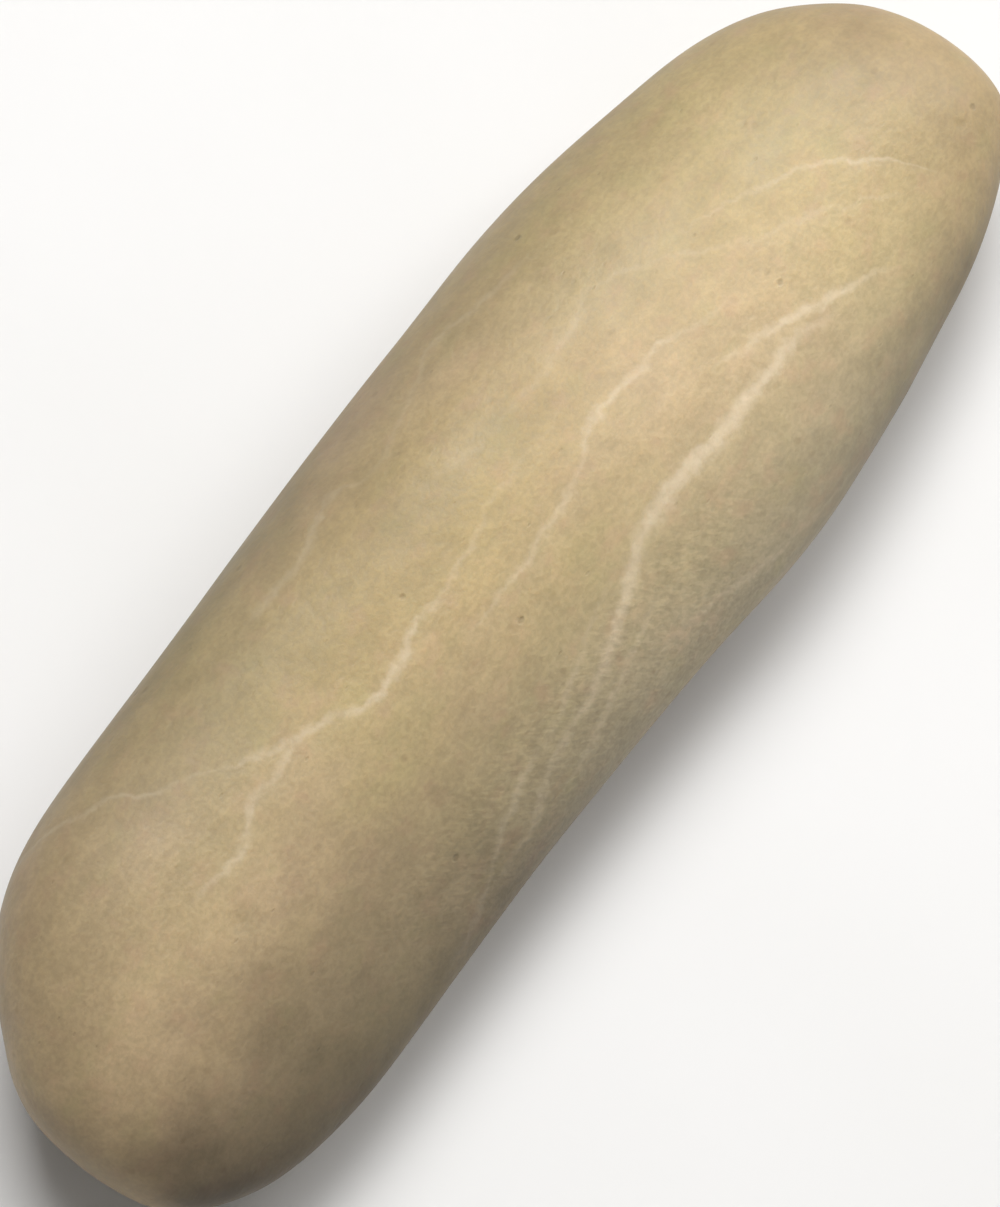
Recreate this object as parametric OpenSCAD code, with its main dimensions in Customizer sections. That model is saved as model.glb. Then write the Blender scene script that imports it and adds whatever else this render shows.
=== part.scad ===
// Bone folder: one solid, hand-rubbed piece of bone, with no joints and nothing fastened to it.
// The heel is blunt and thick and fits the palm. The tip is thinner and is the end that creases paper.
// Millimetres. +X runs from the heel to the tip and +Z is up, away from the face the folder rests on.
// The origin is at the middle of the outer box, on that resting face.

/* [Body] */
// Length from heel to tip
body_length = 108; // [80:1:150]
// Greatest width across the outline
body_width = 34; // [26:0.5:46]
// Height of the crown above the resting face
body_thickness = 20; // [15:0.5:28]
// Height of the widest line above the resting face
waterline = 8.6; // [7:0.1:11]

/* [Ends] */
// Length of the heel's rounding, seen from above
heel_round = 20; // [12:0.5:26]
// Length of the tip's rounding, seen from above
tip_round = 16; // [8:0.5:24]
// Length of the heel's rounding, seen from the side
heel_roll = 22; // [12:0.5:26]
// Length of the tip's rounding, seen from the side
tip_roll = 10; // [5:0.5:16]

/* [Section] */
// How square the cross-section is: 2 is an ellipse
section_power = 2; // [1.9:0.05:2.5]
// How far the crest leans towards +Y at the heel, as a share of the half width
crest_lean = 0.38; // [0:0.02:0.45]
// Depth ground off the underside to make the resting face
rest_depth = 0.6; // [0.3:0.05:1.2]
// Depth worn off the flank on the -Y side
flank_wear = 1.2; // [0:0.1:1.6]
// Angle of that worn flank's face from the vertical axis
flank_tilt = 48; // [35:1:60]

/* [Mesh] */
// Rings along the length
rings = 54; // [24:2:70]
// Sides round each ring
sides = 44; // [24:4:60]

/* [Hidden] */

// Shape of the half width along the length, as shares of the length and of half the width.
// The ends' rounding is taken off this.
half_shape = [
    [0.00, 1.08], [0.03, 0.91], [0.07, 0.92], [0.19, 0.927], [0.33, 0.927], [0.47, 0.955], [0.56, 0.975],
    [0.62, 0.995], [0.675, 1.00], [0.75, 0.955], [0.83, 0.868], [0.89, 0.805], [0.94, 0.77], [0.97, 0.77],
    [1.00, 0.86],
];
// How far the middle of the outline lies towards +Y, in shares of the length and of the width
spine_shape = [
    [0.00, -0.068], [0.04, -0.050], [0.08, -0.022], [0.14, 0.000], [0.30, 0.012], [0.47, 0.013],
    [0.55, 0.006], [0.62, -0.008], [0.75, -0.011], [0.86, -0.018], [0.94, -0.035], [1.00, -0.085],
];
// Height of the crown over the waterline, in shares of its greatest height
crown_shape = [
    [0.00, 0.92], [0.20, 0.97], [0.40, 1.00], [0.60, 0.97], [0.75, 0.85], [0.88, 0.70], [1.00, 0.57],
];
// Depth of the underside below the waterline, in shares of its greatest depth
keel_shape = [
    [0.00, 0.88], [0.20, 0.98], [0.45, 1.00], [0.65, 0.98], [0.80, 0.86], [0.90, 0.72], [1.00, 0.60],
];
// Where along the length the flank is worn, from 0 for none to 1 for the full depth
wear_shape = [
    [0.00, 0.6], [0.10, 0.95], [0.22, 1.0], [0.34, 0.8], [0.48, 0.45], [0.60, 0.35], [0.75, 0.30],
    [0.88, 0.1], [1.00, 0.0],
];
// How far the crest leans, in shares of its lean at the heel
lean_shape = [
    [0.00, 1.00], [0.18, 1.00], [0.34, 0.78], [0.50, 0.42], [0.65, 0.16], [0.80, 0.05], [1.00, 0.00],
];

crown = body_thickness - waterline;
keel = waterline + rest_depth;
end_power = 2.2;   // how blunt the ends are: 2 is an ellipse
wear_edge = 24;    // how crisp the worn flank's shoulder is
wear_clear = 1.5;  // how far outside the section the worn face lies where there is no wear

// Slope of the curve through p at point i
function slope(p, i) =
    let (a = max(i - 1, 0), b = min(i + 1, len(p) - 1)) (p[b][1] - p[a][1]) / (p[b][0] - p[a][0]);

// Number of the span of p that holds u
function span(p, u, i = 0) = i >= len(p) - 2 || u < p[i + 1][0] ? i : span(p, u, i + 1);

// Height at u of a smooth curve through the points p
function along(p, u) =
    let (
        i = span(p, u),
        w = p[i + 1][0] - p[i][0],
        t = (u - p[i][0]) / w,
        rise = t * t * (3 - 2 * t)
    )
    p[i][1] * (1 - rise) + p[i + 1][1] * rise
        + w * t * (1 - t) * ((1 - t) * slope(p, i) - t * slope(p, i + 1));

// Blunt rounding: 0 at the end itself and 1 from a length of run onwards
function rounding(distance, run) =
    distance >= run ? 1 : pow(1 - pow(max(0, 1 - distance / run), end_power), 1 / end_power);

function ends(x, heel, tip) = rounding(x, heel) * rounding(body_length - x, tip);

function half_width(x) =
    body_width / 2 * along(half_shape, x / body_length) * ends(x, heel_round, tip_round);
function spine(x) = body_width * along(spine_shape, x / body_length);
function crown_height(x) = crown * along(crown_shape, x / body_length) * ends(x, heel_roll, tip_roll);
function keel_depth(x) = keel * along(keel_shape, x / body_length) * ends(x, heel_roll, tip_roll);

// Distance from the section's middle to the worn flank's face, for half width a and crown height b
function wear_distance(x, a, b) =
    norm([a * sin(flank_tilt), b * cos(flank_tilt)])
        + wear_clear - (wear_clear + flank_wear) * along(wear_shape, x / body_length);

// One point of the section at x, at angle w round it from +Y
function section_point(x, w) =
    let (
        a = half_width(x),
        b = sin(w) > 0 ? crown_height(x) : keel_depth(x),
        k = pow(pow(abs(cos(w)), section_power) + pow(abs(sin(w)), section_power), -1 / section_power),
        y = a * cos(w) * k,
        z = b * sin(w) * k,
        towards_wear = z * cos(flank_tilt) - y * sin(flank_tilt),
        q = max(0, towards_wear) / wear_distance(x, a, crown_height(x)),
        shrink = pow(1 + pow(q, wear_edge), -1 / wear_edge),
        lean_here = sin(w) > 0 ? crest_lean * along(lean_shape, x / body_length) : 0,
        lean = a * lean_here * pow(sin(w) * k * shrink, 2)
    )
    [x, spine(x) + y * shrink + lean, z * shrink];

// Rings are close together at the ends, where the surface turns quickly
function ring_x(i) = body_length * (1 - cos(180 * i / rings)) / 2;

section_rings = [for (i = [1:rings - 1]) [for (j = [0:sides - 1]) section_point(ring_x(i), 360 * j / sides)]];
shell_points = concat(
    [[0, spine(0), 0]],
    [for (ring = section_rings, p = ring) p],
    [[body_length, spine(body_length), 0]]
);
last_point = len(shell_points) - 1;
middle_y = (max([for (p = shell_points) p[1]]) + min([for (p = shell_points) p[1]])) / 2;

// Number of point j of ring i, with j going round
function at(i, j) = 1 + i * sides + j % sides;

shell_faces = concat(
    [for (j = [0:sides - 1]) [0, at(0, j), at(0, j + 1)]],
    [for (i = [0:rings - 3], j = [0:sides - 1]) each [
        [at(i, j), at(i + 1, j), at(i + 1, j + 1)],
        [at(i, j), at(i + 1, j + 1), at(i, j + 1)],
    ]],
    [for (j = [0:sides - 1]) [last_point, at(rings - 2, j + 1), at(rings - 2, j)]]
);

// The rubbed body before its underside is ground flat
module rubbed_shell() {
    translate([-body_length / 2, -middle_y, waterline])
        polyhedron(points = shell_points, faces = shell_faces);
}

// What the grinding takes away: everything below the resting face
module ground_off() {
    translate([-body_length, -body_width, -2 * keel])
        cube([2 * body_length, 2 * body_width, 2 * keel]);
}

module folder_body() {
    color([0.80, 0.70, 0.53])
        difference() {
            rubbed_shell();
            ground_off();
        }
}

folder_body();
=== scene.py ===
# %% [markdown]
# # A hand-rubbed bone folder
#
# A bone folder creases and smooths paper. This one is a short, plump piece of leg bone, sawn to length and
# then rubbed on sandpaper and in the hand until nothing sharp is left. It is one solid piece: no handle,
# no joint and nothing fastened on.
#
# The engineering model comes first and isn't changed. Everything here is made round it, in metres, in the
# same frame: +X runs from the thick heel to the thin tip, and +Z is up from the face it rests on.

# %% Load the frame
import math

import bpy
import numpy as np
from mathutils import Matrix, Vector, noise
from mathutils.bvhtree import BVHTree


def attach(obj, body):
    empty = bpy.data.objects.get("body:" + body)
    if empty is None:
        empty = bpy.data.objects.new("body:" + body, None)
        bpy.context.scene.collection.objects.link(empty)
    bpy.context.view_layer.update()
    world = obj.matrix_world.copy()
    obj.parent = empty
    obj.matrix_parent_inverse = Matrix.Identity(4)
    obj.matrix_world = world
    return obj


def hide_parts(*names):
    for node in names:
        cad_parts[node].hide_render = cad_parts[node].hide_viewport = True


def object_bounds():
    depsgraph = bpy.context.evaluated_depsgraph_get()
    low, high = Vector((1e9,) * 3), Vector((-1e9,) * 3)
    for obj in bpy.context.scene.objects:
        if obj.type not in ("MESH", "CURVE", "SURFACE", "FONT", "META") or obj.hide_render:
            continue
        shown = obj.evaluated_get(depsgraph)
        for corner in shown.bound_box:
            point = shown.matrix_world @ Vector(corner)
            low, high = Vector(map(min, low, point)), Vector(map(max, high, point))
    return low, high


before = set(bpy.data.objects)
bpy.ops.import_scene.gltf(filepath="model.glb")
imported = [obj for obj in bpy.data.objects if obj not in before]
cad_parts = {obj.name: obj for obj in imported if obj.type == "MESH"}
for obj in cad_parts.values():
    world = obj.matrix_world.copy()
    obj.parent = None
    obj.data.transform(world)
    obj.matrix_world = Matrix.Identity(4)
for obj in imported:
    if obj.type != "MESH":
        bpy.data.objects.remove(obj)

MM = 0.001
cad_low, cad_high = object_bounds()
cad_size = cad_high - cad_low
cad_middle = (cad_low + cad_high) / 2
half_length = cad_size.x / 2
print("solid body, mm:", [round(side / MM, 2) for side in cad_size])

# %% [markdown]
# ## The camera
#
# A long lens a step away flattens the shape, as in a catalogue picture, and looks down steeply from beside
# the heel. The aim is a little off the middle of the box, because a rubbed shape isn't the same on both
# sides and its outline has to sit in the middle of the frame.

# %% Camera
CAMERA_AZIMUTH = math.radians(-53.68)
CAMERA_ELEVATION = math.radians(76)
CAMERA_DISTANCE = 0.6   # metres
CAMERA_LENS = 240.3     # millimetres
AIM_OFFSET = Vector((-1.71, -1.29, 0)) * MM


def direction(azimuth, elevation):
    """The way out from the middle towards a place at this azimuth and elevation."""
    flat = math.cos(elevation)
    return Vector((math.sin(azimuth) * flat, -math.cos(azimuth) * flat, math.sin(elevation)))


def point_at(item, target):
    """Turns a camera or a lamp to face the target."""
    item.rotation_mode = "QUATERNION"
    item.rotation_quaternion = (target - item.location).to_track_quat("-Z", "Y")


aim = cad_middle + AIM_OFFSET
camera = bpy.data.objects.new("camera", bpy.data.cameras.new("camera"))
bpy.context.collection.objects.link(camera)
camera.data.lens = CAMERA_LENS
camera.data.clip_start = 0.01
camera.data.clip_end = 20
camera.location = aim + CAMERA_DISTANCE * direction(CAMERA_AZIMUTH, CAMERA_ELEVATION)
point_at(camera, aim)
bpy.context.scene.camera = camera
print("camera at", [round(v, 3) for v in camera.location])

# %% [markdown]
# ## A fine net over the body
#
# The solid body is made of flat facets a few millimetres across, which is right for a machine and wrong for
# something rubbed by hand. A sculptor would cover it with a fine net, let the net relax, and then rub
# detail into it. Subdividing the facets would keep their corners, and a remesh would lose the tidy rows that
# run along the bone. So the net is felt out: from a line through the core, rays go out all round at each
# of 400 stations, and each stops at the skin.

# %% Feel out the net
STATIONS = 400
SIDES = 240

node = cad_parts["folder_body"]
places = [v.co for v in node.data.vertices]
skin = BVHTree.FromPolygons(places, [tuple(p.vertices) for p in node.data.polygons])
corners = np.array(places)
heel_end = corners[corners[:, 0].argmin()]
tip_end = corners[corners[:, 0].argmax()]
core_height = heel_end[2]


def feel(origin, way):
    """Where a ray from the origin meets the skin."""
    return skin.ray_cast(Vector(origin), Vector(way))[0]


# The core runs midway between the two flanks. It is felt just above its own height, clear of the edges there.
SHARE_FELT = 0.995
CORE_FEELERS = 81
OUTSIDE = 100 * MM
feel_height = core_height + 0.05 * MM
feelers = np.linspace(-SHARE_FELT, SHARE_FELT, CORE_FEELERS) * half_length
midway = []
for x in feelers:
    left = feel((x, OUTSIDE, feel_height), (0, -1, 0))
    right = feel((x, -OUTSIDE, feel_height), (0, 1, 0))
    midway.append((left.y + right.y) / 2)
core_x = np.concatenate([[heel_end[0]], feelers, [tip_end[0]]])
core_y = np.concatenate([[heel_end[1]], midway, [tip_end[1]]])

# Stations crowd together at the ends, where the surface turns quickly. The first and last are the poles.
station_x = -half_length * np.cos(np.pi * np.arange(STATIONS + 1) / STATIONS)
turns = 2 * np.pi * (np.arange(SIDES) + 0.5) / SIDES
net = np.zeros((STATIONS + 1, SIDES, 3))
net[0] = heel_end
net[-1] = tip_end
for i in range(1, STATIONS):
    core = (station_x[i], float(np.interp(station_x[i], core_x, core_y)), core_height)
    for j, turn in enumerate(turns):
        net[i, j] = feel(core, (0, math.cos(turn), math.sin(turn)))
print("net points:", net.shape[0] * net.shape[1])

# %% [markdown]
# ## Relax the facets
#
# Averaging each point with its neighbours, weighted by a bell curve, melts the facets into one flowing
# surface. The bell is about as wide as a facet, so the shape itself hardly moves. Past a pole the net goes
# on down the opposite side, so the ends are averaged like everywhere else. Then the net is stretched by a
# hair to fill the solid body's box again, because averaging always draws a convex shape in a little.

# %% Relax the net
RELAX_ALONG = 4.5   # widths of the bell, in net cells
RELAX_ROUND = 3.2
BELL_REACH = 3      # how many widths out the bell is cut off


def bell(width):
    """Weights of a bell curve that add up to one."""
    reach = int(BELL_REACH * width)
    weights = np.exp(-0.5 * (np.arange(-reach, reach + 1) / width) ** 2)
    return weights / weights.sum()


def relax(points, along, round_):
    """The net averaged along its length and round its girth."""
    weights = bell(along)
    reach = len(weights) // 2
    before = np.roll(points[1:reach + 1], SIDES // 2, axis=1)[::-1]
    after = np.roll(points[-reach - 1:-1], SIDES // 2, axis=1)[::-1]
    longer = np.concatenate([before, points, after])
    points = sum(w * longer[k:k + len(points)] for k, w in enumerate(weights))
    weights = bell(round_)
    reach = len(weights) // 2
    return sum(w * np.roll(points, k - reach, axis=1) for k, w in enumerate(weights))


def fill_box(points):
    """The net stretched to fill the solid body's box exactly."""
    low = points.reshape(-1, 3).min(0)
    high = points.reshape(-1, 3).max(0)
    return np.array(cad_low) + (points - low) * (np.array(cad_size) / (high - low))


net = relax(net, RELAX_ALONG, RELAX_ROUND)
net[0] = net[0].mean(0)
net[-1] = net[-1].mean(0)
shrunk = np.ptp(net.reshape(-1, 3), axis=0)
net = fill_box(net)
print("relaxing drew it in by, mm:", [round((a - b) / MM, 3) for a, b in zip(cad_size, shrunk)])

# %% [markdown]
# ## Where things are on the surface
#
# Bone has a direction: fibres, blood-vessel traces and rubbing marks run along it. To place them, each
# point gets two numbers, like a map of the peeled skin. `along` is how far it lies towards the tip from the
# middle, and `round` is how far it lies round the girth from the crest of the back, positive to the +Y side.
# Both are in millimetres, so a vein can be drawn as a short list of round numbers.

# %% Map of the skin
along_mm = net[:, :, 0] / MM
steps = np.linalg.norm(np.roll(net, -1, axis=1) - net, axis=2) / MM
walked = np.concatenate([np.zeros((STATIONS + 1, 1)), np.cumsum(steps, axis=1)], axis=1)
girth = walked[:, -1:]
crest = (walked[:, SIDES // 4 - 1:SIDES // 4] + walked[:, SIDES // 4:SIDES // 4 + 1]) / 2
round_mm = crest - walked[:, :-1]
round_mm = np.where(round_mm < -girth / 2, round_mm + girth, round_mm)
print("girth at the middle, mm:", round(float(girth[STATIONS // 2, 0]), 1))

# %% [markdown]
# ## Veins, marks and the worn flank
#
# Pale veins cross the bone where blood vessels lay, and where fine cracks have filled and healed. Each is
# drawn as a route of points on the map of the skin, from heel to tip: how far along, how far round, and how
# plain it is there, from 0 to 1. The boldest runs down the shoulder of the -Y flank, where the colour turns
# greyer and the surface is rubbed flatter. The same routes are used twice: to press the surface in a
# little, and later to colour it.

# %% Routes of the veins
VEINS = {
    "long": [
        (-46, 22, 0.0), (-42, 18.5, 0.2), (-38.5, 16, 0.4), (-35, 13, 0.35), (-32.5, 11.5, 0.45),
        (-30, 8.5, 0.4), (-27.5, 7.2, 0.25), (-24.5, 4.8, 0.35), (-21.5, 3.0, 0.6), (-18, 1.2, 0.65),
        (-14, -0.4, 0.68), (-11, 0.0, 0.65), (-7.5, 0.6, 0.52), (-3, 0.8, 0.35), (4, 1.9, 0.2),
        (8.5, 2.1, 0.1), (13, 3.0, 0.0),
    ],
    "long_branch": [
        (-35.5, 1.8, 0.0), (-34, 1.8, 0.35), (-31, 1.1, 0.52), (-28.5, 1.2, 0.6), (-26, 2.5, 0.56),
        (-24, 2.2, 0.6), (-22, 2.5, 0.6), (-20.5, 3.0, 0.0),
    ],
    "middle": [
        (-9, -3.5, 0.0), (-5, -3.0, 0.2), (-2, -2.8, 0.35), (0.5, -2.8, 0.5), (4.5, -2.4, 0.45),
        (8.5, -1.4, 0.45), (10.5, -0.3, 0.5), (14.5, -0.1, 0.6), (18.5, -0.4, 0.5), (22.5, -1.6, 0.3),
        (26, -2.4, 0.0),
    ],
    "shoulder": [
        (-20, -17, 0.0), (-15, -16.2, 0.4), (-10.5, -14.6, 0.5), (-7, -13.5, 0.5), (-4, -13.2, 0.6),
        (-1, -12.2, 0.65), (3, -10.3, 0.75), (6, -8.8, 0.9), (9, -8.0, 1.0), (12, -7.4, 1.0), (16, -8.1, 1.0),
        (20.5, -7.8, 0.95), (24, -7.9, 0.75), (27.5, -8.5, 0.4), (30, -9.2, 0.0),
    ],
    "shoulder_branch": [
        (20, -4.4, 0.0), (22.5, -5.2, 0.5), (25.5, -6.1, 0.85), (29.5, -7.9, 0.8), (32.5, -9.0, 0.6),
        (36, -10.6, 0.0),
    ],
    "tip": [
        (24, 4.8, 0.0), (26.5, 3.9, 0.1), (30, 2.9, 0.2), (34, 1.2, 0.3), (38, -0.8, 0.45),
        (40.5, -3.1, 0.6), (42.5, -6.0, 0.35), (44, -9, 0.0),
    ],
    "tip_faint": [
        (19, 6.5, 0.0), (22, 5.5, 0.2), (31, -1.2, 0.25), (36, -4.0, 0.3), (38.5, -5.8, 0.25), (41, -8, 0.0),
    ],
    "crest_faint": [(-1, 6.5, 0.0), (4, 5.8, 0.22), (10, 5.2, 0.18), (16, 5.6, 0.22), (21, 7.2, 0.0)],
    "far_flank": [
        (-16, 10.7, 0.0), (-13, 10.7, 0.35), (-9.5, 10.7, 0.4), (-4, 12.2, 0.35), (-1.5, 10.6, 0.2),
        (5.5, 12.3, 0.2), (10, 14.6, 0.25), (14.5, 13.5, 0.3), (19, 12.6, 0.15), (23, 11, 0.0),
    ],
    "streak_a": [
        (-27, -18.8, 0.0), (-22, -17.4, 0.45), (-18, -15.2, 0.45), (-14, -13.6, 0.5), (-9, -12.6, 0.35),
        (-4, -11.0, 0.3), (0, -9.6, 0.2), (3.5, -8.4, 0.0),
    ],
    "streak_b": [(-12, -16.8, 0.0), (-8, -16.0, 0.35), (-3, -14.9, 0.4), (1, -13.4, 0.35), (5, -12.2, 0.0)],
    "flank_edge": [
        (1, -15.4, 0.0), (5.5, -16.2, 0.3), (12, -18.1, 0.35), (18.5, -19.2, 0.3), (25, -19.4, 0.0),
    ],
    "heel_under": [(-40, -27, 0.0), (-31, -25.5, 0.5), (-22, -29, 0.6), (-12, -28, 0.5), (-3, -31.5, 0.0)],
    "far_under": [
        (-28, 27, 0.0), (-17, 30.5, 0.6), (-6, 29, 0.7), (6, 33, 0.6), (17, 31.5, 0.4), (27, 34, 0.0),
    ],
}
print("veins:", len(VEINS))

# %% [markdown]
# ## Relief
#
# Hand rubbing never leaves an even surface: the grit digs where the bone is soft, so there are low hills, a
# faint groove along each vein and a drop past the shoulder of the worn flank. A bump texture would fake
# these, but then the outline and the mesh would stay too smooth. The net is fine enough to carry
# them, so each depth is added up in millimetres and the points are moved along their own outward way.

# %% Press the surface in
SEED = 7
HILLS = [(0.11, 17, 1.8), (0.05, 7, 2.5), (0.03, 2.6, 5)]    # depth and size in millimetres, and stretch
VEIN_DENT = 0.05        # millimetres, like every depth here
VEIN_DENT_WIDTH = 0.9
SHOULDER_DROP = 0.16
SHOULDER_SOFTNESS = 3.5
SHOULDER_END = -30      # how far round the drop has run out
SHOULDER_RUN_OUT = 12
CALM_END = 1.5          # the relief fades over this length at each end
# Each pit: how far along, how far round, depth and width.
PITS = [(0.2, -14.4, 0.14, 0.5), (-33.7, -2.0, 0.12, 0.6), (47.9, -6.9, 0.10, 0.6), (-18, -8, 0.08, 0.5),
        (30, 8, 0.08, 0.5), (-44, 24, 0.14, 0.7), (12, 26, 0.16, 0.6), (-6, -26, 0.14, 0.7)]


def smooth_step(value):
    """0 below 0, 1 above 1 and a soft S between."""
    value = np.clip(value, 0, 1)
    return value * value * (3 - 2 * value)


def rolling(size, stretch, seed):
    """Slow random hills over the net, about `size` mm across and `stretch` times as long along the bone."""
    shift = Vector((3.1 * seed, 5.7 * seed, 1.3 * seed))
    scale = np.array([1 / stretch, 1, 1]) / (size * MM)
    flat = (net * scale).reshape(-1, 3)
    return np.array([noise.noise(Vector(p) + shift) for p in flat]).reshape(net.shape[:2])


def vein_at(route):
    """How far round the vein lies, and how plain it is, at each point's place along."""
    x, y, plain = np.array(route, float).T
    return np.interp(along_mm, x, y), np.interp(along_mm, x, plain, left=0, right=0)


relief = sum(depth * rolling(size, stretch, SEED + k) for k, (depth, size, stretch) in enumerate(HILLS))
for route in VEINS.values():
    centre, plain = vein_at(route)
    relief -= VEIN_DENT * plain * np.exp(-((round_mm - centre) / VEIN_DENT_WIDTH) ** 2)
shoulder, plain = vein_at(VEINS["shoulder"])
past = smooth_step((shoulder - round_mm) / SHOULDER_SOFTNESS)
past *= smooth_step((round_mm - SHOULDER_END) / SHOULDER_RUN_OUT)
relief -= SHOULDER_DROP * plain * past
for x, y, depth, width in PITS:
    away = np.hypot(along_mm - x, round_mm - y)
    relief -= depth * np.exp(-(away / width) ** 2)
print("relief runs from", round(float(relief.min()), 3), "to", round(float(relief.max()), 3), "mm")

# %% Move the net by the relief
along_way = np.gradient(net, axis=0)
round_way = (np.roll(net, -1, axis=1) - np.roll(net, 1, axis=1)) / 2
outward = np.cross(round_way, along_way)
lengths = np.linalg.norm(outward, axis=2, keepdims=True)
outward = outward / np.maximum(lengths, 1e-12)
if outward[STATIONS // 2, SIDES // 4, 2] < 0:
    outward = -outward
calm_ends = smooth_step((half_length / MM - np.abs(along_mm)) / CALM_END)
net = net + outward * (relief * calm_ends * MM)[:, :, None]
net = fill_box(net)
net[:, :, 2] = np.maximum(net[:, :, 2], cad_low.z)
print("net box, mm:", [round(v / MM, 2) for v in np.ptp(net.reshape(-1, 3), axis=0)])

# %% [markdown]
# ## The mesh
#
# The net becomes one closed mesh of quads, with a fan of triangles at each pole. The map of the skin goes
# into a UV layer. One column of faces, under the belly, crosses from one edge of the map to the other,
# so its corners are written past the edge instead of jumping back to the start. A second layer says how big
# a share of the way from crest to belly each point has gone. It is 0 all along the crest and 1 all along the
# belly, right up to the poles, so a finish that fades with it has no seam where the two sides meet.

# %% Build the mesh
MAP_HEIGHT = 90.0      # millimetres of girth that the map's height stands for
map_length = cad_size.x / MM


def number(i, j):
    """The number of net point j of station i, once each pole is a single point."""
    return 1 + (i - 1) * SIDES + j % SIDES


inner = net[1:-1].reshape(-1, 3)
points = np.concatenate([net[0, :1], inner, net[-1, :1]])
last = len(points) - 1
faces = [(0, number(1, j + 1), number(1, j)) for j in range(SIDES)]
for i in range(1, STATIONS - 1):
    faces += [(number(i, j), number(i, j + 1), number(i + 1, j + 1), number(i + 1, j)) for j in range(SIDES)]
faces += [(last, number(STATIONS - 1, j), number(STATIONS - 1, j + 1)) for j in range(SIDES)]
mesh = bpy.data.meshes.new("bone_body")
mesh.from_pydata(points.tolist(), [], faces)
mesh.validate()
mesh.shade_smooth()

place = np.zeros((len(points), 3))
place[1:-1, 0] = along_mm[1:-1].ravel()
place[1:-1, 1] = round_mm[1:-1].ravel()
place[1:-1, 2] = np.repeat(girth[1:-1, 0], SIDES)
place[0] = (along_mm[0, 0], 0, 1)
place[-1] = (along_mm[-1, 0], 0, 1)
for name in ("skin_map", "girth_share"):
    mesh.uv_layers.new(name=name)
skin_layer = mesh.uv_layers["skin_map"]
share_layer = mesh.uv_layers["girth_share"]
for polygon in mesh.polygons:
    x, rounds, whole = place[list(polygon.vertices)].T
    crosses = np.ptp(rounds) > whole.max() / 2
    for loop, vertex in zip(polygon.loop_indices, polygon.vertices):
        x, y, whole = place[vertex]
        share_layer.data[loop].uv = (abs(y) / (whole / 2), 0.5)
        if crosses and y < 0:
            y += whole
        skin_layer.data[loop].uv = (0.5 + x / map_length, 0.5 + y / MAP_HEIGHT)

bone = bpy.data.objects.new("bone_body", mesh)
bpy.context.collection.objects.link(bone)
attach(bone, "root")
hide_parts("folder_body")
print("faces:", len(mesh.polygons), "closed:", all(len(e.vertices) == 2 for e in mesh.edges))

# %% [markdown]
# ## Tools for the finish
#
# Bone has no paint: its look is in the material itself, so the finish is built from many weak layers. A few
# helpers keep each layer to one line. `lay` puts a node on a tree, `feed` wires or sets a socket, and the
# rest are shorthand for sums, blends, soft steps and noise.

# %% Node helpers
def feed(socket, source):
    """Sets a socket to a value, or wires another socket into it."""
    if isinstance(source, bpy.types.NodeSocket):
        socket.id_data.links.new(source, socket)
    elif source is not None:
        socket.default_value = source


def lay(tree, kind, *sources, **settings):
    """A new node, with its settings and its inputs in order."""
    item = tree.nodes.new(kind)
    item.location = (180 * len(tree.nodes), 0)
    for name, value in settings.items():
        setattr(item, name, value)
    for socket, source in zip(item.inputs, sources):
        feed(socket, source)
    return item


def sums(tree, operation, *sources):
    """One step of arithmetic."""
    return lay(tree, "ShaderNodeMath", *sources, operation=operation).outputs[0]


def soft(tree, value, start, end, low=0.0, high=1.0):
    """Goes softly from low to high while the value goes from start to end."""
    return lay(tree, "ShaderNodeMapRange", value, start, end, low, high,
               interpolation_type="SMOOTHSTEP").outputs[0]


def blend(tree, amount, under, over, how="MIX"):
    """Lays one colour over another."""
    item = lay(tree, "ShaderNodeMix", data_type="RGBA", blend_type=how)
    feed(item.inputs[0], amount)
    feed(item.inputs[6], under)
    feed(item.inputs[7], over)
    return item.outputs[2]


def paint(red, green, blue):
    """A colour from 0 to 255 a channel, as a painter's chart gives it, in the renderer's linear light."""
    linear = [((v / 255 + 0.055) / 1.055) ** 2.4 for v in (red, green, blue)]
    return (*linear, 1.0)


def new_group(name, inputs, outputs):
    """An empty node group with named sockets. Returns it with its entry and its exit."""
    group = bpy.data.node_groups.new(name, "ShaderNodeTree")
    for label, kind, value in inputs:
        socket = group.interface.new_socket(label, in_out="INPUT", socket_type=kind)
        if value is not None:
            socket.default_value = value
    for label, kind in outputs:
        group.interface.new_socket(label, in_out="OUTPUT", socket_type=kind)
    return group, group.nodes.new("NodeGroupInput").outputs, group.nodes.new("NodeGroupOutput").inputs


FLOAT = "NodeSocketFloat"
VECTOR = "NodeSocketVector"
print("helpers ready")

# %% [markdown]
# ## Clouds
#
# Almost every change of colour in bone is a cloud: soft, without an edge, and longer along the bone than
# across it. One group makes them all. It squeezes the space along the bone, reads noise of the wanted size,
# and stretches a chosen part of its range to run from 0 to 1.

# %% Group: cloud
METRES_TO_MM = 1000.0


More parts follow.
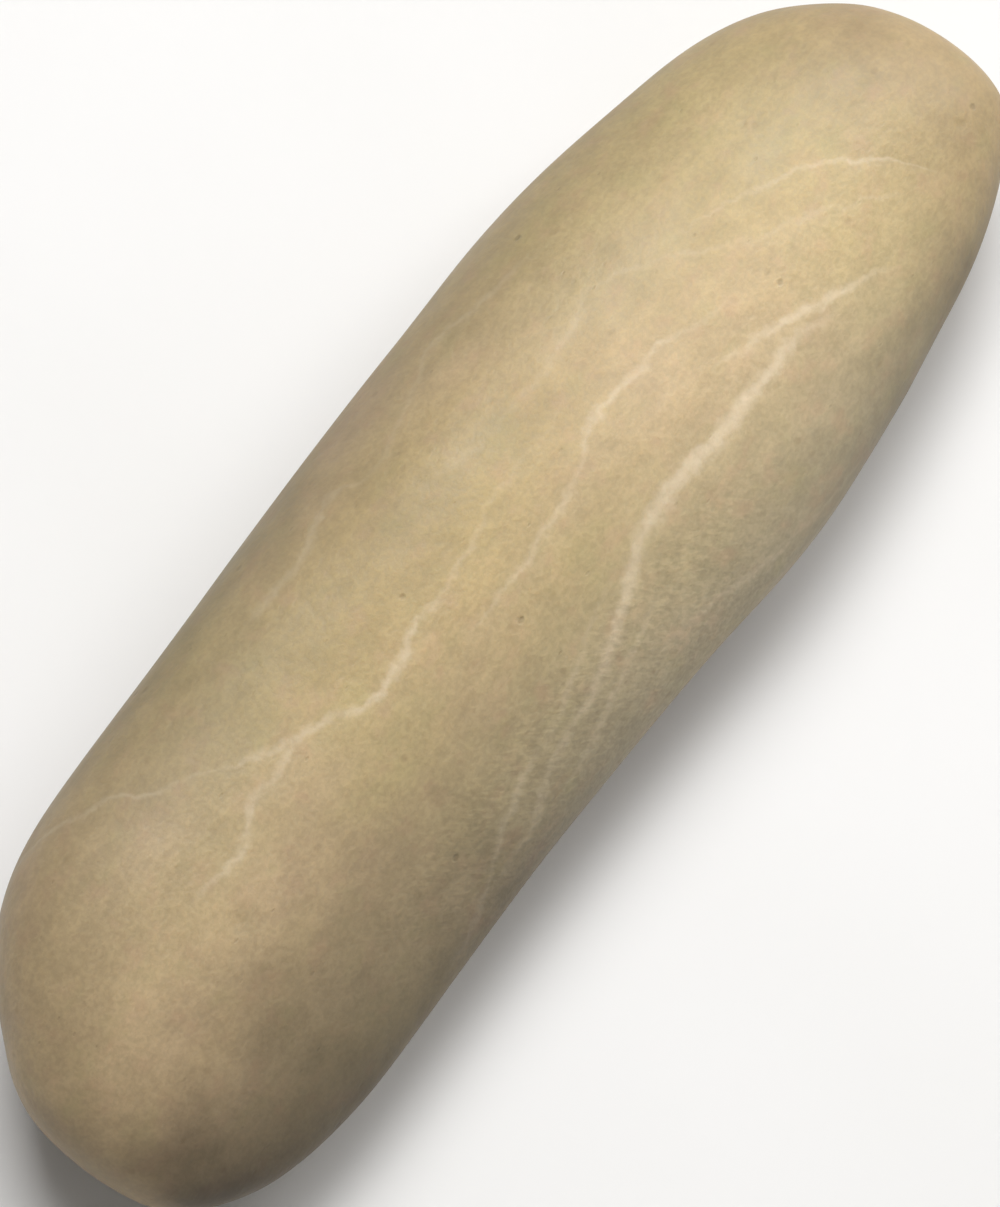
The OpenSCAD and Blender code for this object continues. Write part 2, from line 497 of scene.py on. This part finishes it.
def make_cloud():
    """Soft patches `Size` mm across and `Stretch` times as long."""
    group, enter, leave = new_group(
        "cloud",
        [("Vector", VECTOR, None), ("Size", FLOAT, 10.0), ("Stretch", FLOAT, 1.0), ("Detail", FLOAT, 2.0),
         ("Low", FLOAT, 0.35), ("High", FLOAT, 0.65)],
        [("Mask", FLOAT)],
    )
    squeeze = lay(group, "ShaderNodeCombineXYZ", sums(group, "DIVIDE", 1.0, enter["Stretch"]), 1.0, 1.0)
    space = lay(group, "ShaderNodeVectorMath", enter["Vector"], squeeze.outputs[0], operation="MULTIPLY")
    cloud = lay(group, "ShaderNodeTexNoise", normalize=True)
    feed(cloud.inputs["Vector"], space.outputs[0])
    feed(cloud.inputs["Scale"], sums(group, "DIVIDE", METRES_TO_MM, enter["Size"]))
    feed(cloud.inputs["Detail"], enter["Detail"])
    feed(cloud.inputs["Roughness"], 0.55)
    feed(leave["Mask"], soft(group, cloud.outputs["Fac"], enter["Low"], enter["High"]))
    return group


CLOUD = make_cloud()


def cloud(tree, place, size, stretch=1.0, low=0.35, high=0.65, detail=2.0):
    """Puts a cloud on a tree and returns its mask."""
    item = lay(tree, "ShaderNodeGroup", node_tree=CLOUD)
    for label, value in zip(("Vector", "Size", "Stretch", "Detail", "Low", "High"),
                            (place, size, stretch, detail, low, high)):
        feed(item.inputs[label], value)
    return item.outputs["Mask"]


print("cloud sockets:", [s.name for s in CLOUD.interface.items_tree])

# %% [markdown]
# ## Flecks and pores
#
# Cut bone shows tiny dark dashes where its canals open at the surface, and round specks of stain or mineral.
# Both are cells with a dot in some of them, so one group serves: scattered points, a dot round each, and a
# lottery that leaves most cells empty. Stretched along the bone, the dots become dashes.

# %% Group: fleck
def make_fleck():
    """Dots in a share of the cells that are `Spacing` mm apart and `Stretch` times as long."""
    group, enter, leave = new_group(
        "fleck",
        [("Vector", VECTOR, None), ("Spacing", FLOAT, 2.0), ("Stretch", FLOAT, 1.0), ("Share", FLOAT, 0.3),
         ("Size", FLOAT, 0.2)],
        [("Mask", FLOAT)],
    )
    squeeze = lay(group, "ShaderNodeCombineXYZ", sums(group, "DIVIDE", 1.0, enter["Stretch"]), 1.0, 1.0)
    space = lay(group, "ShaderNodeVectorMath", enter["Vector"], squeeze.outputs[0], operation="MULTIPLY")
    cells = lay(group, "ShaderNodeTexVoronoi", voronoi_dimensions="3D", feature="F1")
    feed(cells.inputs["Vector"], space.outputs[0])
    feed(cells.inputs["Scale"], sums(group, "DIVIDE", METRES_TO_MM, enter["Spacing"]))
    dot = soft(group, cells.outputs["Distance"], enter["Size"], sums(group, "MULTIPLY", enter["Size"], 0.35))
    lottery = lay(group, "ShaderNodeSeparateColor", cells.outputs["Color"])
    drawn = sums(group, "LESS_THAN", lottery.outputs[0], enter["Share"])
    strength = soft(group, lottery.outputs[1], 0.0, 1.0, 0.35, 1.0)
    feed(leave["Mask"], sums(group, "MULTIPLY", sums(group, "MULTIPLY", dot, drawn), strength))
    return group


FLECK = make_fleck()


def fleck(tree, place, spacing, stretch, share, size):
    """Puts flecks on a tree and returns their mask."""
    item = lay(tree, "ShaderNodeGroup", node_tree=FLECK)
    for label, value in zip(("Vector", "Spacing", "Stretch", "Share", "Size"),
                            (place, spacing, stretch, share, size)):
        feed(item.inputs[label], value)
    return item.outputs["Mask"]


print("fleck sockets:", [s.name for s in FLECK.interface.items_tree])

# %% [markdown]
# ## A vein
#
# A vein is a curve on the map of the skin. Painting it would need a picture, and a stripe texture can't
# follow a route. A Float Curve node can: it gives the vein's place round the girth for each place along, and
# a second one gives its strength. What is left is a distance, which turns into a bright core and a faint
# glow under the surface. Noise makes the line tremble and breaks its strength, as in real bone.

# %% Groups: veins
CURVE_RANGE = 45.0     # a Float Curve runs from 0 to 1, which stands for -45 to 45 mm round the girth
VEIN_HALF_WIDTH = {"shoulder": 0.90, "long": 0.68, "long_branch": 0.66, "shoulder_branch": 0.66, "tip": 0.60,
                   "middle": 0.68, "tip_faint": 0.9, "crest_faint": 1.0, "far_flank": 0.9}
USUAL_HALF_WIDTH = 0.8


def set_curve(item, points):
    """Gives a Float Curve node these points, smoothly joined."""
    curve = item.mapping.curves[0]
    while len(curve.points) < len(points):
        curve.points.new(0.5, 0.5)
    for spot, (x, y) in zip(curve.points, points):
        spot.location = (x, y)
        spot.handle_type = "AUTO_CLAMPED"
    item.mapping.update()


def make_vein(name, route):
    """A group that gives one vein's core and glow."""
    group, enter, leave = new_group(
        "vein_" + name,
        [("Along", FLOAT, 0.0), ("Round", FLOAT, 0.0), ("Half width", FLOAT, 0.3)],
        [("Core", FLOAT), ("Glow", FLOAT)],
    )
    start, end = route[0][0], route[-1][0]
    share = lay(group, "ShaderNodeMapRange", enter["Along"], start, end, 0.0, 1.0, clamp=True).outputs[0]
    line = lay(group, "ShaderNodeFloatCurve")
    plain = lay(group, "ShaderNodeFloatCurve")
    shares = [(x - start) / (end - start) for x, _, _ in route]
    set_curve(line, [(u, 0.5 + y / (2 * CURVE_RANGE)) for u, (_, y, _) in zip(shares, route)])
    set_curve(plain, [(u, strength) for u, (_, _, strength) in zip(shares, route)])
    feed(line.inputs["Value"], share)
    feed(plain.inputs["Value"], share)
    centre = lay(group, "ShaderNodeMapRange", line.outputs[0], 0.0, 1.0, -CURVE_RANGE, CURVE_RANGE).outputs[0]
    away = sums(group, "ABSOLUTE", sums(group, "SUBTRACT", enter["Round"], centre))
    strength = plain.outputs[0]
    reach = sums(group, "MULTIPLY", enter["Half width"], soft(group, strength, 0.0, 1.0, 0.45, 1.2))
    core = soft(group, away, reach, 0.0)
    glow = soft(group, away, sums(group, "MULTIPLY", reach, 3.5), 0.0)
    feed(leave["Core"], sums(group, "MULTIPLY", core, strength))
    feed(leave["Glow"], sums(group, "MULTIPLY", glow, strength))
    return group


VEIN_GROUPS = {name: make_vein(name, route) for name, route in VEINS.items()}
print("vein groups:", len(VEIN_GROUPS))

# %% [markdown]
# ## The bone
#
# The finish goes on in the order that the real one came about: the bone's own colour, the grain and flecks
# of its structure and the veins. Last comes painted shade. Two numbers place everything, read back from
# the map of the skin: how far along the bone, and how far round it. Everything that has no fixed place
# reads the body's own space instead, so it has no seam.

# %% Bone: place on the skin
bone_finish = bpy.data.materials.new("bone")
bone_finish.use_nodes = True
tree = bone_finish.node_tree
tree.nodes.clear()
space = lay(tree, "ShaderNodeTexCoord").outputs["Object"]
skin_map = lay(tree, "ShaderNodeUVMap", uv_map="skin_map").outputs[0]
on_map = lay(tree, "ShaderNodeSeparateXYZ", skin_map)
along = lay(tree, "ShaderNodeMapRange", on_map.outputs[0], 0.0, 1.0, -map_length / 2, map_length / 2,
            clamp=False).outputs[0]
round_ = lay(tree, "ShaderNodeMapRange", on_map.outputs[1], 0.0, 1.0, -MAP_HEIGHT / 2, MAP_HEIGHT / 2,
             clamp=False).outputs[0]

# %% [markdown]
# ### The bone's own colour
#
# Fresh bone is nearly white. Old, oiled and handled bone is a warm tan that drifts from place to place:
# yellower at the tip and over the middle of the back, pinker at the heel, greyer on the worn flank. One flat
# colour would look like plastic, and one noise would look like marble. So several weak layers are blended,
# some placed on the map and some left to chance, and none of them strong enough to be seen alone. The grey
# of the flank fades before the belly, so that it meets the other side without a line.

# %% Bone: its own colour
TAN = paint(192, 171, 126)
PINK_TAN = paint(199, 173, 136)
OLIVE = paint(186, 168, 117)
WARM_YELLOW = paint(198, 176, 126)
GOLD = paint(190, 166, 112)
GREY_OLIVE = paint(180, 168, 140)
RUSSET = paint(196, 168, 122)
PALE = paint(225, 206, 174)
DARK = paint(104, 88, 62)


def between(mask, low, high):
    """A plain number that runs from low to high with the mask."""
    return lay(tree, "ShaderNodeMapRange", mask, 0.0, 1.0, low, high).outputs[0]


def ramp(value, start, end, low=0.0, high=1.0):
    """Goes evenly from low to high while the value goes from start to end, and no further."""
    return lay(tree, "ShaderNodeMapRange", value, start, end, low, high).outputs[0]


def spot(x, y, long_, wide):
    """A soft oval on the map of the skin, 1 at its middle."""
    across = sums(tree, "DIVIDE", sums(tree, "SUBTRACT", round_, y), wide)
    down = sums(tree, "DIVIDE", sums(tree, "SUBTRACT", along, x), long_)
    away = sums(tree, "ADD", sums(tree, "POWER", sums(tree, "ABSOLUTE", across), 2.0),
                sums(tree, "POWER", sums(tree, "ABSOLUTE", down), 2.0))
    return soft(tree, away, 1.0, 0.0)


colour = blend(tree, cloud(tree, space, 19, 1.6), TAN, PINK_TAN)
olive_patches = sums(tree, "MULTIPLY", cloud(tree, space, 11, 1.8, 0.42, 0.66), 0.42)
colour = blend(tree, olive_patches, colour, OLIVE)
colour = blend(tree, ramp(along, 8, 34, 0.0, 0.6), colour, WARM_YELLOW)
colour = blend(tree, ramp(along, -20, -45, 0.0, 0.6), colour, PINK_TAN)
colour = blend(tree, sums(tree, "MULTIPLY", spot(-3, 4.5, 24, 9), 0.75), colour, GOLD)
share_map = lay(tree, "ShaderNodeUVMap", uv_map="girth_share").outputs[0]
girth_share = lay(tree, "ShaderNodeSeparateXYZ", share_map).outputs[0]
above = soft(tree, girth_share, 0.70, 0.40)
flank = sums(tree, "MULTIPLY", ramp(round_, -5, -21), above)
grey_flank = sums(tree, "MULTIPLY", flank, soft(tree, along, -30, -4, 0.45, 1.0))
grey_flank = sums(tree, "MULTIPLY", grey_flank, soft(tree, along, 50, 26, 0.2, 1.0))
colour = blend(tree, grey_flank, colour, GREY_OLIVE)
colour = blend(tree, soft(tree, along, 38, 54, 0.0, 0.7), colour, RUSSET)
print("colour layers:", len(tree.nodes))

# %% [markdown]
# ### Structure
#
# Close up, bone is a fine mottle: hazy spots a millimetre or two across, a little pinker or greener than
# the rest, small soft brown specks, a few dark pores, and a grain like fine paper. The fibres run along the
# bone but barely show once it is rubbed. Each layer is a cloud or a fleck at its own size, and changes the
# tone by a few parts in a hundred.

# %% Bone: structure
BLUSH = paint(204, 166, 134)
MOSS = paint(176, 170, 114)
SPECK = paint(140, 116, 80)

fine = cloud(tree, space, 2.6, 1.3, 0.3, 0.7, 3.0)
mottle = cloud(tree, space, 1.1, 1.2, 0.3, 0.7, 2.0)
fibres = cloud(tree, space, 0.5, 7, 0.3, 0.7, 2.0)
grain = cloud(tree, space, 0.36, 1.2, 0.3, 0.7, 2.0)
pores = fleck(tree, space, 0.9, 2.2, 0.30, 0.15)
flecks = fleck(tree, space, 3.4, 1.2, 0.22, 0.10)
specks = fleck(tree, space, 1.7, 1.3, 0.35, 0.22)
blushes = cloud(tree, space, 1.9, 1.2, 0.50, 0.78)
mosses = cloud(tree, space, 2.9, 1.4, 0.52, 0.78)

tone = sums(tree, "MULTIPLY", between(fine, 0.94, 1.05), between(mottle, 0.965, 1.03))
tone = sums(tree, "MULTIPLY", tone, between(fibres, 0.985, 1.012))
tone = sums(tree, "MULTIPLY", tone, between(grain, 0.93, 1.05))
colour = blend(tree, 1.0, colour, tone, "MULTIPLY")
colour = blend(tree, between(blushes, 0.0, 0.28), colour, BLUSH)
colour = blend(tree, between(mosses, 0.0, 0.18), colour, MOSS)
colour = blend(tree, between(specks, 0.0, 0.26), colour, SPECK)
colour = blend(tree, between(pores, 0.0, 0.14), colour, DARK)
colour = blend(tree, between(flecks, 0.0, 0.35), colour, DARK)
print("structure ready")

# %% [markdown]
# ### Veins in colour
#
# The vein groups are placed on the map and the brightest wins where two meet. Their distance is shaken by
# a slow noise and a quick one before it reaches them, so a smooth route turns into a line that a real crack
# would take. Two clouds break its strength into beads.

# %% Bone: veins
TREMBLE = 0.7          # how far a vein wanders from its route, in millimetres
FINE_TREMBLE = 0.55

wander = lay(tree, "ShaderNodeTexNoise")
feed(wander.inputs["Vector"], space)
feed(wander.inputs["Scale"], METRES_TO_MM / 3.0)
feed(wander.inputs["Detail"], 1.0)
shiver = lay(tree, "ShaderNodeTexNoise")
feed(shiver.inputs["Vector"], space)
feed(shiver.inputs["Scale"], METRES_TO_MM / 0.9)
feed(shiver.inputs["Detail"], 2.0)
shift = sums(tree, "ADD", between(wander.outputs["Fac"], -TREMBLE, TREMBLE),
             between(shiver.outputs["Fac"], -FINE_TREMBLE, FINE_TREMBLE))
trembling = sums(tree, "ADD", round_, shift)
core, glow = 0.0, 0.0
for name, group in VEIN_GROUPS.items():
    item = lay(tree, "ShaderNodeGroup", along, trembling, VEIN_HALF_WIDTH.get(name, USUAL_HALF_WIDTH),
               node_tree=group)
    core = sums(tree, "MAXIMUM", item.outputs["Core"], core)
    glow = sums(tree, "MAXIMUM", item.outputs["Glow"], glow)
broken = sums(tree, "MULTIPLY", between(cloud(tree, space, 2.4, 2.0, 0.32, 0.58), 0.5, 1.0),
              between(cloud(tree, space, 0.7, 1.0, 0.30, 0.60), 0.7, 1.0))
core = sums(tree, "MULTIPLY", core, broken)
colour = blend(tree, sums(tree, "MULTIPLY", glow, 0.10), colour, PALE)
colour = blend(tree, sums(tree, "MULTIPLY", core, 0.92), colour, PALE)
print("veins wired:", len(VEIN_GROUPS))

# %% [markdown]
# ### Painted shade
#
# Shade is painted into the colour: most over the palm end on the -Y side, less along the far side,
# at the tip and low on the flanks, and hardly at all on the crest. On the underside it takes back the light
# that the pale floor throws up. Painting brown over the bone would hide its texture. So each zone is a share
# of light taken away, the zones are multiplied together, and the colour is multiplied by what is left. All
# sides end on one tone along the belly and another at the poles, because there the two edges of the map meet.

# %% Bone: painted shade
UNDERSIDE_SHADE = 0.40       # painted shade: the share of the colour kept on the underside
POLE_SHADE = 0.64           # painted shade: the share of the colour kept round the very ends, where every side meets

# The painted shade thins out in patches, so no edge of it is even.
patchy = between(cloud(tree, space, 6, 1.6, 0.3, 0.7, 3.0), -1.1, 1.1)
patchy_round = sums(tree, "ADD", round_, patchy)
patchy_along = sums(tree, "ADD", along, patchy)
# Painted shade along the far, +Y side.
far_side = sums(tree, "MULTIPLY", ramp(patchy_round, 0, 16.5), soft(tree, along, -8, 14, 0.54, 0.42))
far_side = sums(tree, "MULTIPLY", far_side, soft(tree, along, -48, -26, 0.75, 1.0))
# Painted shade over the palm end on the -Y side, deepest at the heel, with a faint painted shade spot inside
# it.
palm_end_shade = sums(tree, "MULTIPLY", ramp(along, 4, -50, 0.0, 0.74), soft(tree, patchy_round, 1.5, -13.5))
heel_shade_spot = sums(tree, "MULTIPLY", spot(-26, -3, 18, 9), 0.06)
# Painted shade low on the -Y flank, least at the waist, and on the -Y side of the tip.
from_waist = sums(tree, "ABSOLUTE", sums(tree, "SUBTRACT", along, 6.0))
near_side = sums(tree, "MULTIPLY", ramp(patchy_round, -12, -21), soft(tree, from_waist, 4, 28, 0.12, 0.52))
tip_side = sums(tree, "MULTIPLY", ramp(patchy_round, -9, -17), soft(tree, along, 20, 46, 0.0, 0.42))
# Painted shade at the tip end and, mostly on the -Y side, at the heel end.
tip_end = soft(tree, patchy_along, 36, 54, 0.0, 0.38)
heel_end = sums(tree, "MULTIPLY", soft(tree, patchy_along, -42, -56), soft(tree, patchy_round, 6, -8, 0.04, 0.34))
# The painted shade zones are multiplied into one share of the colour kept.
painted_shade_factor = 1.0
for shade_zone in (far_side, palm_end_shade, heel_shade_spot, near_side, tip_side, tip_end, heel_end):
    painted_shade_factor = sums(tree, "MULTIPLY", painted_shade_factor, sums(tree, "SUBTRACT", 1.0, shade_zone))
# Painted shade on the underside, then round the poles.
painted_shade_factor = lay(tree, "ShaderNodeMapRange", above, 0.0, 1.0, UNDERSIDE_SHADE, painted_shade_factor).outputs[0]
poles = soft(tree, sums(tree, "ABSOLUTE", along), 51.5, 53.7)
painted_shade_factor = lay(tree, "ShaderNodeMapRange", poles, 0.0, 1.0, painted_shade_factor, POLE_SHADE).outputs[0]
colour = blend(tree, 1.0, colour, painted_shade_factor, "MULTIPLY")

# The painted shade zones are wired.
print("zones darkened by hands are wired")

# %% [markdown]
# ### Rubbing marks
#
# The worn flank was the last face to be rubbed on the grit, and fine marks cross it slantwise, close
# together. They are a cloud squeezed into long thin strokes in a space that has been turned, in both colour
# and height. The flank is also a little rougher to the light than the polished back.

# %% Bone: rubbing marks and sheen
RUB_ANGLE = math.radians(54)
slant = lay(tree, "ShaderNodeVectorRotate", rotation_type="Z_AXIS")
feed(slant.inputs["Vector"], space)
feed(slant.inputs["Angle"], RUB_ANGLE)
rubs = cloud(tree, slant.outputs[0], 0.40, 10, 0.36, 0.64, 1.0)
rub_zone = sums(tree, "MULTIPLY", soft(tree, along, -34, -18), soft(tree, along, 24, 6))
rub_zone = sums(tree, "MULTIPLY", rub_zone, soft(tree, round_, -8, -12))
rub_zone = sums(tree, "MULTIPLY", rub_zone, above)
rub_tone = sums(tree, "ADD", 1.0, sums(tree, "MULTIPLY", rub_zone, between(rubs, -0.065, 0.065)))
colour = blend(tree, 1.0, colour, rub_tone, "MULTIPLY")

roughness = between(cloud(tree, space, 7, 2.0, 0.3, 0.7), 0.48, 0.62)
roughness = sums(tree, "ADD", roughness, sums(tree, "MULTIPLY", flank, 0.07))
roughness = sums(tree, "ADD", roughness, between(grain, -0.04, 0.04))
print("finish ready")

# %% [markdown]
# ### Fine relief and the shader
#
# Relief under a tenth of a millimetre is too fine for the net, so it goes into a bump, with its height in
# millimetres. Light sinks a little way into bone before it comes back, more for red than for blue, which
# softens every edge. So the shader scatters light under the surface, with a reach of just under a
# millimetre.

# %% Bone: relief too fine for the mesh
height = between(fine, 0.0, 0.028)
height = sums(tree, "ADD", height, between(mottle, 0.0, 0.012))
height = sums(tree, "ADD", height, between(fibres, 0.0, 0.004))
height = sums(tree, "ADD", height, between(grain, 0.0, 0.006))
height = sums(tree, "SUBTRACT", height, between(pores, 0.0, 0.02))
height = sums(tree, "SUBTRACT", height, between(flecks, 0.0, 0.04))
height = sums(tree, "ADD", height, sums(tree, "MULTIPLY", rubs, sums(tree, "MULTIPLY", rub_zone, 0.009)))
bump = lay(tree, "ShaderNodeBump")
feed(bump.inputs["Strength"], 1.0)
feed(bump.inputs["Distance"], MM)
feed(bump.inputs["Height"], height)

print("height layers ready")

# %% Bone: shader
SCATTER_DEPTH = 0.9 * MM

shader = lay(tree, "ShaderNodeBsdfPrincipled", subsurface_method="RANDOM_WALK")
feed(shader.inputs["Base Color"], colour)
feed(shader.inputs["Roughness"], roughness)
feed(shader.inputs["Normal"], bump.outputs[0])
shader.inputs["IOR"].default_value = 1.54
shader.inputs["Subsurface Weight"].default_value = 0.25
shader.inputs["Subsurface Radius"].default_value = (1.0, 0.62, 0.36)
shader.inputs["Subsurface Scale"].default_value = SCATTER_DEPTH
lay(tree, "ShaderNodeOutputMaterial", shader.outputs[0])
bone.data.materials.append(bone_finish)
print("nodes in the bone finish:", len(tree.nodes))

# %% [markdown]
# ## The studio
#
# The folder lies on a pale sheet that curves up into walls a long way off, so that the ground never ends in
# any view. Two big soft lamps stand beyond the tip: one high up and round to the +Y side, and one low and
# straight ahead. Between them they light the back and the tip, and leave the palm end in soft shade. The
# room adds a little of its own, so that no side goes black. One strong lamp would do the same job with a
# harder shadow and a shine that rubbed bone doesn't have.

# %% Floor
FLOOR_FLAT = 1.6       # metres from the middle to where the sheet starts to rise
FLOOR_BEND = 0.9
FLOOR_WALL = 1.5
FLOOR_TURNS = 96
FLAT_RINGS = 8
BEND_STEP = 6          # degrees

profile = [(FLOOR_FLAT * k / FLAT_RINGS, 0.0) for k in range(1, FLAT_RINGS + 1)]
profile += [(FLOOR_FLAT + FLOOR_BEND * math.sin(a), FLOOR_BEND * (1 - math.cos(a)))
            for a in np.radians(np.arange(BEND_STEP, 91, BEND_STEP))]
profile.append((FLOOR_FLAT + FLOOR_BEND, FLOOR_BEND + FLOOR_WALL))
floor_points = [(0, 0, cad_low.z)]
for radius, rise in profile:
    floor_points += [(radius * math.cos(a), radius * math.sin(a), cad_low.z + rise)
                     for a in 2 * np.pi * np.arange(FLOOR_TURNS) / FLOOR_TURNS]
floor_faces = [(0, 1 + k, 1 + (k + 1) % FLOOR_TURNS) for k in range(FLOOR_TURNS)]
for ring in range(len(profile) - 1):
    a, b = 1 + ring * FLOOR_TURNS, 1 + (ring + 1) * FLOOR_TURNS
    floor_faces += [(a + k, b + k, b + (k + 1) % FLOOR_TURNS, a + (k + 1) % FLOOR_TURNS)
                    for k in range(FLOOR_TURNS)]
floor_mesh = bpy.data.meshes.new("floor")
floor_mesh.from_pydata(floor_points, [], floor_faces)
floor_mesh.shade_smooth()
floor = bpy.data.objects.new("floor", floor_mesh)
bpy.context.collection.objects.link(floor)

sheet_finish = bpy.data.materials.new("pale_sheet")
sheet_finish.use_nodes = True
sheet = sheet_finish.node_tree
sheet.nodes.clear()
sheet_space = lay(sheet, "ShaderNodeTexCoord").outputs["Object"]
sheet_mottle = cloud(sheet, sheet_space, 60, 1.0, 0.2, 0.8)
sheet_shader = lay(sheet, "ShaderNodeBsdfPrincipled")
sheet_colour = blend(sheet, sheet_mottle, paint(238, 237, 235), paint(243, 242, 241))
feed(sheet_shader.inputs["Base Color"], sheet_colour)
sheet_shader.inputs["Roughness"].default_value = 0.9
lay(sheet, "ShaderNodeOutputMaterial", sheet_shader.outputs[0])
floor.data.materials.append(sheet_finish)
print("floor points:", len(floor_points))

# %% Lamps
LAMP_DISTANCE = 1.3    # metres
LAMP_SIZE = 0.7
ROOM_LIGHT = 0.12


def lamp(name, azimuth, elevation, watts):
    """A square soft lamp that faces the folder."""
    light = bpy.data.lights.new(name, "AREA")
    light.shape = "SQUARE"
    light.size = LAMP_SIZE
    light.energy = watts
    item = bpy.data.objects.new(name, light)
    bpy.context.collection.objects.link(item)
    item.location = cad_middle + LAMP_DISTANCE * direction(math.radians(azimuth), math.radians(elevation))
    point_at(item, cad_middle)


lamp("key", 126, 58, 14)
lamp("low_side", 81, 30, 9.7)

world = bpy.data.worlds.new("room")
bpy.context.scene.world = world
world.use_nodes = True
room = world.node_tree.nodes["Background"]
room.inputs["Color"].default_value = (1, 1, 1, 1)
room.inputs["Strength"].default_value = ROOM_LIGHT
bpy.context.scene.view_settings.view_transform = "Standard"
